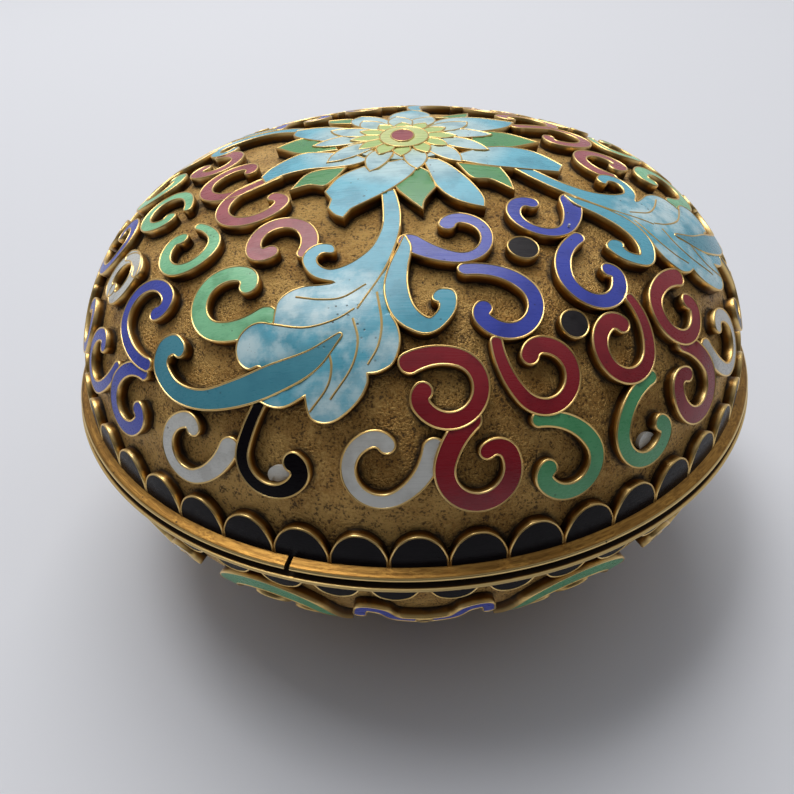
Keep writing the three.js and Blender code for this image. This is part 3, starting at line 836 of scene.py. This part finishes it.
def polishGroup():
    # ground-flat glass: fine strokes all one way, pinholes, and worn patches
    outputs = [("Strokes", floatSocket), ("Pinholes", floatSocket), ("Wear", floatSocket)]
    tree, sketch, _, leave = newGroup("polish", outputs)
    strokes = sketch.noise(1, 3, 0.6, (260, 7000, 7000))
    deep = sketch.noise(1, 2, 0.5, (160, 3400, 3400), (4, 2, 1))
    both = sketch.math("ADD", sketch.math("MULTIPLY", strokes, 0.6), sketch.math("MULTIPLY", deep, 0.4))
    where = sketch.spread(sketch.noise(260, 3, 0.6, offset=(5, 5, 1)), 0.5, 0.66)
    holes = sketch.math("MULTIPLY", sketch.spread(sketch.cellsOf(1500), 0.17, 0.08), where)
    small = sketch.spread(sketch.cellsOf(3600, (1, 2, 3)), 0.13, 0.05)
    rare = sketch.spread(sketch.noise(420, 2, 0.5, offset=(1, 8, 2)), 0.55, 0.7)
    holes = sketch.math("MAXIMUM", holes, sketch.math("MULTIPLY", small, rare))
    wear = sketch.spread(sketch.noise(150, 4, 0.6, offset=(2, 7, 4)), 0.35, 0.7)
    for name, source in (("Strokes", both), ("Pinholes", holes), ("Wear", wear)):
        sketch.join(source, leave.inputs[name])
    return tree


shared = {"grain": grainGroup(), "polish": polishGroup()}


def newMaterial(name, roughness=0.4, metallic=0.0, **values):
    look = bpy.data.materials.new(name)
    look.use_nodes = True
    sketch = Sketch(look.node_tree)
    shader = next(n for n in look.node_tree.nodes if n.type == "BSDF_PRINCIPLED")
    shader.inputs["Roughness"].default_value = roughness
    shader.inputs["Metallic"].default_value = metallic
    for label, value in values.items():
        shader.inputs[label].default_value = value
    return look, sketch, shader


def useGroup(sketch, name, links=None):
    made = sketch.add("ShaderNodeGroup", node_tree=shared[name])
    for label, source in (links or {}).items():
        sketch.join(source, made.inputs[label])
    return made.outputs


gilt = {
    "bright": linear(222, 184, 112),
    "ground": linear(218, 176, 104),
    "groundDeep": linear(176, 132, 68),
    "pit": linear(60, 40, 18),
    "grimeAndShade": linear(34, 25, 16),
    "edge": linear(240, 208, 140),
    "tarnishAndShade": linear(126, 90, 44),
    "rim": linear(176, 132, 66),
}


def groundMaterial():
    look, sketch, shader = newMaterial("stippledGilt", 0.46, 0.85)
    grain = useGroup(sketch, "grain", {"Near": sketch.mark("near")})
    base = sketch.mix(grain["Tone"], gilt["groundDeep"], gilt["ground"])
    glints = sketch.spread(grain["Grain"], 0.5, 0.6)
    base = sketch.mix(sketch.math("MULTIPLY", glints, 0.55), base, gilt["bright"])
    base = sketch.mix(sketch.math("MULTIPLY", grain["Pits"], 0.8), base, gilt["pit"])
    # painted shade: the ground darkens next to the walls, with real grime mixed in
    base = sketch.mix(sketch.math("MULTIPLY", grain["GrimeAndShade"], 0.9), base, gilt["grimeAndShade"])
    sketch.join(base, shader.inputs["Base Color"])
    dull = sketch.math("MAXIMUM", grain["GrimeAndShade"], sketch.math("MULTIPLY", grain["Pits"], 0.6))
    sketch.join(sketch.spread(dull, 0, 1, 0.42, 0.85), shader.inputs["Roughness"])
    sketch.join(sketch.spread(dull, 0, 1, 0.72, 0.1), shader.inputs["Metallic"])
    bump = sketch.add("ShaderNodeBump", {"Height": grain["Grain"]}, {"Strength": 1.0, "Distance": 0.0005})
    sketch.join(bump, shader.inputs["Normal"])
    return look


def wireMaterial():
    look, sketch, shader = newMaterial("wireGilt", 0.32, 1.0)
    grain = useGroup(sketch, "grain", {"Near": sketch.mark("depth")})
    base = sketch.mix(grain["Tone"], gilt["bright"], gilt["edge"])
    depth = sketch.mark("depth")
    # painted shade: the walls darken towards the ground, as tarnish and grime
    base = sketch.mix(sketch.spread(depth, 0.1, 0.45), base, gilt["tarnishAndShade"])
    base = sketch.mix(sketch.math("MULTIPLY", sketch.spread(depth, 0.35, 0.95), 0.75), base,
                      gilt["grimeAndShade"])
    base = sketch.mix(sketch.math("MULTIPLY", grain["GrimeAndShade"], 0.95), base, gilt["grimeAndShade"])
    sketch.join(base, shader.inputs["Base Color"])
    sketch.join(sketch.spread(grain["GrimeAndShade"], 0, 1, 0.34, 0.85), shader.inputs["Roughness"])
    sketch.join(sketch.spread(grain["GrimeAndShade"], 0, 1, 1, 0.15), shader.inputs["Metallic"])
    bump = sketch.add("ShaderNodeBump", {"Height": grain["Grain"]},
                      {"Strength": 0.5, "Distance": 0.00004})
    sketch.join(bump, shader.inputs["Normal"])
    return look


def rimMaterial():
    look, sketch, shader = newMaterial("brushedGilt", 0.34, 1.0)
    where = sketch.add("ShaderNodeTexCoord").outputs["Object"]
    apart = sketch.add("ShaderNodeSeparateXYZ", {"Vector": where}).outputs
    flat = sketch.math("SQRT", sketch.math("ADD", sketch.math("MULTIPLY", apart[0], apart[0]),
                                          sketch.math("MULTIPLY", apart[1], apart[1])))
    slow = sketch.noise(60, 3, 0.6)
    rings = sketch.add("ShaderNodeCombineXYZ", {"X": flat, "Y": apart[2], "Z": sketch.math("MULTIPLY",
                                                                                           slow, 0.012)})
    lines = sketch.add("ShaderNodeTexNoise", {"Vector": rings},
                       {"Scale": 5200, "Detail": 3, "Roughness": 0.6}).outputs["Fac"]
    worn = sketch.spread(sketch.noise(240, 4, 0.65), 0.4, 0.62)
    base = sketch.mix(sketch.spread(lines, 0.3, 0.7), gilt["tarnishAndShade"], gilt["rim"])
    base = sketch.mix(sketch.math("MULTIPLY", worn, 0.5), base, gilt["tarnishAndShade"])
    # a painted highlight: the outer beads of the rims are made lighter
    base = sketch.mix(sketch.spread(sketch.mark("edge"), 0.4, 1), base, gilt["edge"])
    # real dirt spots, and painted shade on the rims' inner, lower and hidden faces from the depth mark
    spots = sketch.math("MULTIPLY", sketch.spread(sketch.cellsOf(1300), 0.16, 0.07),
                        sketch.spread(sketch.noise(300, 2, 0.5), 0.52, 0.62))
    dirtAndShade = sketch.math("MAXIMUM", spots, sketch.spread(sketch.mark("depth"), 0.45, 0.95))
    base = sketch.mix(sketch.math("MULTIPLY", dirtAndShade, 0.92), base, gilt["grimeAndShade"])
    sketch.join(base, shader.inputs["Base Color"])
    sketch.join(sketch.spread(dirtAndShade, 0, 1, 0.34, 0.8), shader.inputs["Roughness"])
    sketch.join(sketch.spread(dirtAndShade, 0, 1, 1, 0.2), shader.inputs["Metallic"])
    bump = sketch.add("ShaderNodeBump", {"Height": lines}, {"Strength": 0.6, "Distance": 0.00002})
    sketch.join(bump, shader.inputs["Normal"])
    return look


enamels = {
    # stops of tone, and the shade towards which each mottles
    "turquoise": ([(0, (74, 148, 165)), (0.25, (88, 164, 184)), (0.5, (100, 184, 206)),
                   (0.68, (122, 200, 220)),
                   (0.84, (202, 230, 232)), (1, (206, 222, 136))], (56, 128, 150)),
    "cobalt": ([(0, (62, 74, 176)), (1, (70, 84, 190))], (40, 50, 140)),
    # the rose end of red is brick lightened, partly a painted sheen
    "red": ([(0, (150, 34, 44)), (1, (172, 84, 90))], (112, 20, 32)),
    "green": ([(0, (84, 156, 88)), (0.5, (92, 168, 114)), (1, (142, 212, 160))], (66, 140, 88)),
    "white": ([(0, (206, 205, 196)), (1, (228, 228, 224))], (168, 164, 154)),
    "black": ([(0, (15, 11, 15)), (1, (52, 49, 50))], (8, 6, 8)),
    "yellow": ([(0, (196, 218, 132)), (1, (222, 228, 150))], (160, 200, 120)),
}
enamelPiece = {
    "leaf": "turquoise", "teal": "turquoise", "aqua": "turquoise", "petal": "turquoise",
    "inner": "turquoise",
    "sky": "turquoise", "cobalt": "cobalt", "brick": "red", "rose": "red", "heart": "red",
    "sepal": "green",
    "jade": "green", "mint": "green", "white": "white", "black": "black", "night": "black",
    "slate": "black",
    "lime": "yellow", "lemon": "yellow", "gold": "gold",
}
enamelTone = {
    "leaf": 0.45, "teal": 0.05, "aqua": 0.4, "petal": 0.5, "inner": 0.8, "sky": 0.68, "cobalt": 0.4,
    "brick": 0,
    "rose": 1, "heart": 0.7, "sepal": 0, "jade": 0.5, "mint": 1, "white": 0.5, "black": 0, "night": 0.1,
    "slate": 1, "lime": 0, "lemon": 1, "gold": 0,
}


gloss = {"black": 0.08, "cobalt": 0.45, "red": 0.45}


def enamelMaterial(name, stops, shade):
    look, sketch, shader = newMaterial(name + "Enamel", 0.24, 0.0,
                                       **{"Specular IOR Level": gloss.get(name, 0.5)})
    polish = useGroup(sketch, "polish")
    tone = sketch.mark("tone")
    base = sketch.ramp(tone, [(position, linear(*colour)) for position, colour in stops])
    cloudy = sketch.spread(sketch.noise(420, 4, 0.6), 0.42, 0.68)
    base = sketch.mix(sketch.math("MULTIPLY", cloudy, 0.45), base, linear(*shade))
    if name in ("turquoise", "yellow"):
        # paler patches: partly the enamel's own colour, partly a painted highlight
        pale = sketch.mark("pale")
        broken = sketch.spread(sketch.noise(620, 5, 0.62, offset=(1, 1, 6)), 0.38, 0.62, -0.28, 0.3)
        lift = sketch.math("MULTIPLY", sketch.math("ADD", pale, broken), sketch.spread(pale, 0.02, 0.3),
                           clamp=True)
        base = sketch.mix(lift, base, linear(206, 232, 236))
    base = sketch.mix(sketch.math("MULTIPLY", polish["Pinholes"], 0.85), base, linear(24, 20, 20))
    sketch.join(base, shader.inputs["Base Color"])
    rough = sketch.math("ADD", sketch.spread(polish["Strokes"], 0.35, 0.65, 0.2, 0.34),
                        sketch.math("MULTIPLY", polish["Wear"], 0.08))
    sketch.join(rough, shader.inputs["Roughness"])
    height = sketch.math("SUBTRACT", polish["Strokes"], sketch.math("MULTIPLY", polish["Pinholes"], 1.5))
    bump = sketch.add("ShaderNodeBump", {"Height": height}, {"Strength": 0.35, "Distance": 0.00003})
    sketch.join(bump, shader.inputs["Normal"])
    return look


def insideMaterial():
    look, sketch, shader = newMaterial("counterEnamel", 0.22)
    polish = useGroup(sketch, "polish")
    clouds = sketch.spread(sketch.noise(240, 5, 0.6), 0.35, 0.65)
    base = sketch.mix(clouds, linear(70, 150, 166), linear(98, 180, 190))
    base = sketch.mix(sketch.math("MULTIPLY", polish["Pinholes"], 0.7), base, linear(40, 60, 66))
    sketch.join(base, shader.inputs["Base Color"])
    bump = sketch.add("ShaderNodeBump", {"Height": clouds}, {"Strength": 0.2, "Distance": 0.0001})
    sketch.join(bump, shader.inputs["Normal"])
    return look


looks = {
    "ground": groundMaterial(),
    "wire": wireMaterial(),
    "rim": rimMaterial(),
    "inside": insideMaterial(),
}
for name, (stops, shade) in enamels.items():
    looks[name] = enamelMaterial(name, stops, shade)
looks["gold"] = looks["rim"]
slots = {
    "turquoise": "enamel_turquoise", "cobalt": "enamel_cobalt", "red": "enamel_red",
    "green": "enamel_green",
    "white": "enamel_white", "black": "enamel_black", "yellow": "enamel_green", "gold": "gilt_rim",
}
print("materials")

# The two shells


def nearness(points, cells, reach=0.75):
    lines = []
    for one in cells:
        line = one["outline"][::2]
        lines.append(onSurface(one["section"], *one["spot"](line), -cellForm["height"]))
    lines = np.vstack(lines)
    tree = kdtree.KDTree(len(lines))
    for i, p in enumerate(lines):
        tree.insert(p, i)
    tree.balance()
    away = np.array([tree.find(p)[2] for p in points]) / mm
    return np.clip(1 - away / reach, 0, 1)


def ringFaces(rings, columns, loop, startPole, endPole):
    faces = []
    for i in range(rings if loop else rings - 1):
        k = (i + 1) % rings
        for j in range(columns):
            n = (j + 1) % columns
            faces.append((i * columns + j, k * columns + j, k * columns + n, i * columns + n))
    if startPole is not None:
        faces += [(startPole, j, (j + 1) % columns) for j in range(columns)]
    if endPole is not None:
        last = (rings - 1) * columns
        faces += [(endPole, last + (j + 1) % columns, last + j) for j in range(columns)]
    return faces


def makeShell(name, section, rows, columns, groundRows, cellsOn, looksOf, nodes):
    # rows of (distance, lift) from pole to pole; groundRows says which of them are matted ground
    angles = np.linspace(0, 2 * math.pi, columns, endpoint=False)
    rings = [onSurface(section, angles, np.full(columns, s), lift) for s, lift in rows[1:-1]]
    poles = [onSurface(section, np.zeros(1), np.array([s]), lift) for s, lift in (rows[0], rows[-1])]
    points = np.vstack(rings + poles)
    count = len(rings)
    faces = ringFaces(count, columns, False, count * columns, count * columns + 1)
    first, last = groundRows
    near = np.zeros(len(points))
    ground = slice(first * columns, last * columns)
    near[ground] = nearness(points[ground], cellsOn)
    heap = newHeap("near")
    addToHeap(heap, points, faces, near=near)
    piece = makePiece(name, heap, [looksOf[0], looksOf[1]], "gilt_ground", nodes)
    looksAt = np.array([0 if first <= min(face) // columns < last else 1 for face in faces], np.int32)
    piece.data.polygons.foreach_set("material_index", looksAt)
    return piece


groundLift = -cellForm["height"]
shell = {"columns": 640, "rowGap": 0.36, "insideRows": 12}


def groundDistances(start, length):
    return np.linspace(start, length, int((length - start) / shell["rowGap"]) + 1)


outerRows = [(s, groundLift) for s in groundDistances(6, domeLength)]
innerLift = groundLift - lidForm["wall"]
innerRows = [(s, innerLift) for s in np.linspace(domeLength, 2, shell["insideRows"])]
lidRows = [(0, groundLift), (3, groundLift)] + outerRows + innerRows + [(0, innerLift)]
makeShell("lidShell", domeSection, lidRows, shell["columns"], (0, len(outerRows) + 1), pattern,
          (looks["ground"], looks["inside"]), ["lid"])

innerLift = groundLift - bowlForm["wall"]
innerRows = [(s, innerLift) for s in np.linspace(bowlLength - 2, 0, shell["insideRows"])]
outerRows = [(s, groundLift) for s in groundDistances(0, bowlLength - 2)]
bowlRows = [(bowlLength - 0.02, innerLift)] + innerRows + outerRows + [(bowlLength - 0.02, groundLift)]
makeShell("bowlShell", bowlSection, bowlRows, shell["columns"] // 2,
          (shell["insideRows"], shell["insideRows"] + len(outerRows)), bowlPattern,
          (looks["ground"], looks["inside"]), ["bowl"])

# Cells of the lid and of the bowl

enamelNames = ["turquoise", "cobalt", "red", "green", "white", "black", "yellow", "gold"]
for part, cellsOn in (("lid", pattern), ("bowl", bowlPattern)):
    fills = {name: newHeap("tone", "pale") for name in enamelNames}
    for front in ((True, False) if part == "lid" else (None,)):
        wires = newHeap("depth")
        buildCells(cellsOn, wires, fills, front)
        label = {True: "Front", False: "Back", None: ""}[front]
        makePiece(part + "Wires" + label, wires, looks["wire"], "wire", [part])
    for name, heap in fills.items():
        if heap["count"]:
            makePiece(part + name.capitalize(), heap, looks[name], slots[name], [part])

# Rims and foot


def addLathe(heap, profile, columns, gapAt=None, gap=0.0):
    # profile of (radius, z, depth), from the outside top round to the inside top
    # a depth over 0 darkens a face as painted shade, and a depth under 0 marks an edge painted lighter as a
    # highlight
    angles = np.linspace(0, 2 * math.pi, columns, endpoint=False)
    if gapAt is not None:
        angles = np.linspace(math.radians(gapAt) + gap / 2, math.radians(gapAt) + 2 * math.pi - gap / 2,
                             columns)
    points = np.vstack([
        np.stack([r * np.sin(angles), -r * np.cos(angles), np.full(columns, z)], -1) * mm for r, z,
        _ in profile
    ])
    faces = ringFaces(len(profile), columns, True, None, None)
    if gapAt is not None:
        faces = [face for face in faces if abs(face[0] - face[3]) == 1]
        faces.append([i * columns for i in reversed(range(len(profile)))])
        faces.append([i * columns + columns - 1 for i in range(len(profile))])
    depth = np.repeat([row[2] for row in profile], columns)
    addToHeap(heap, points, faces, depth=np.maximum(depth, 0), edge=np.maximum(-depth, 0))


rims = {"columns": 288, "splitAt": -16, "splitWidth": 0.42}
lidInner = 31.75
top = rimLevel
# third column: painted shade on hidden faces, and under 0 a painted highlight on the outer bead
lidRimProfile = [
    (33.45, top + 0.1, 0.9), (33.72, top + 0.1, 0.6), (33.9, top, 0.35), (34.3, top - 0.04, 0.05),
    (34.56, top - 0.08, 0), (34.68, top - 0.13, -0.9), (34.77, top - 0.24, -1), (34.76, top - 0.36, -0.6),
    (34.68, top - 0.46, 0.2), (34.4, top - 0.5, 1), (lidInner, top - 0.5, 1), (lidInner, top, 1),
]
heap = newHeap("depth", "edge")
addLathe(heap, lidRimProfile, rims["columns"], rims["splitAt"], rims["splitWidth"] / rimRadius)
makePiece("lidRim", heap, looks["rim"], "gilt_rim", ["lid_rim"])

collar = {"outer": 31.45, "inner": 30.55, "top": baseRimTop + 2}
baseRimProfile = [
    (collar["outer"], baseRimTop - 0.12, 1), (34.55, baseRimTop - 0.14, 1),
    (rimRadius - 0.26, baseRimTop - 0.13, 0.9),
    (rimRadius - 0.12, baseRimTop - 0.13, -0.8), (rimRadius, baseRimTop - 0.22, -1),
    (rimRadius, baseRimTop - 0.34, -0.8), (rimRadius - 0.1, baseRimTop - 0.46, 0.1),
    (34.5, baseRimBottom + 0.02, 0.8), (33.6, baseRimBottom - 0.1, 1),
    (collar["inner"], baseRimBottom - 0.1, 0.4), (collar["inner"], collar["top"] - 0.15, 0.1),
    (collar["inner"] + 0.2, collar["top"], 0), (collar["outer"] - 0.2, collar["top"], 0),
    (collar["outer"], collar["top"] - 0.15, 0.1),
]
heap = newHeap("depth", "edge")
addLathe(heap, baseRimProfile, rims["columns"])
makePiece("baseRim", heap, looks["rim"], "gilt_rim", ["base_rim"])

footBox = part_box("foot_ring")
footTop = footBox[1][2] / mm
footOuter = footBox[1][0] / mm
footProfile = [
    (footOuter - 0.35, footTop, 1), (footOuter - 0.35, footTop * 0.55, 0.5),
    (footOuter - 0.25, footTop * 0.42, 0.4),
    (footOuter, footTop * 0.3, 0), (footOuter, 0.15, 0), (footOuter - 0.15, 0, 0.2),
    (footOuter - 1.65, 0, 0.2),
    (footOuter - 1.8, 0.15, 0), (footOuter - 1.8, footTop, 0.6),
]
heap = newHeap("depth", "edge")
addLathe(heap, footProfile, rims["columns"])
makePiece("footRing", heap, looks["rim"], "gilt_rim", ["foot_ring"])
print("rims and foot")

# The paper it stands on, and the light

paper = {"half": 3.0, "colour": linear(222, 223, 228)}
mesh = bpy.data.meshes.new("paper")
side = paper["half"]
mesh.from_pydata([(-side, -side, 0), (side, -side, 0), (side, side, 0), (-side, side, 0)], [],
                 [(0, 1, 2, 3)])
look, sketch, shader = newMaterial("paper", 0.7)
shader.inputs["Base Color"].default_value = paper["colour"]
mesh.materials.append(look)
floor = bpy.data.objects.new("paper", mesh)
bpy.context.scene.collection.objects.link(floor)


def addLight(name, at, aim, size, power, colour=(1, 1, 1)):
    data = bpy.data.lights.new(name, "AREA")
    data.shape = "RECTANGLE"
    data.size, data.size_y = size
    data.energy = power
    data.color = colour
    lamp = bpy.data.objects.new(name, data)
    lamp.location = at
    away = lamp.location - Vector(aim)
    lamp.rotation_euler = away.to_track_quat("Z", "Y").to_euler()
    bpy.context.scene.collection.objects.link(lamp)
    return lamp


lights = {
    "window": ((-0.1, 0.5, 0.78), (0, 0, 0.02), (0.75, 0.5), 4.3, (1, 0.99, 0.97)),
    "ceiling": ((-0.24, 0.17, 0.95), (0, 0, 0.02), (0.34, 0.26), 2.0, (0.98, 0.99, 1)),
}
for name, (at, aim, size, power, colour) in lights.items():
    addLight(name, at, aim, size, power, colour)
world = bpy.data.worlds.new("room")
bpy.context.scene.world = world
world.use_nodes = True
sketch = Sketch(world.node_tree)
back = next(n for n in world.node_tree.nodes if n.type == "BACKGROUND")
apart = sketch.add("ShaderNodeSeparateXYZ",
                   {"Vector": sketch.add("ShaderNodeTexCoord").outputs["Generated"]}).outputs
behind = sketch.spread(sketch.math("ADD", apart[1], sketch.math("MULTIPLY", apart[2], 0.6)), -0.6, 0.9,
                       0.06, 0.52)
back.inputs["Color"].default_value = (0.93, 0.95, 1, 1)
sketch.join(behind, back.inputs["Strength"])
bpy.context.scene.view_settings.view_transform = "Standard"
print("stage")
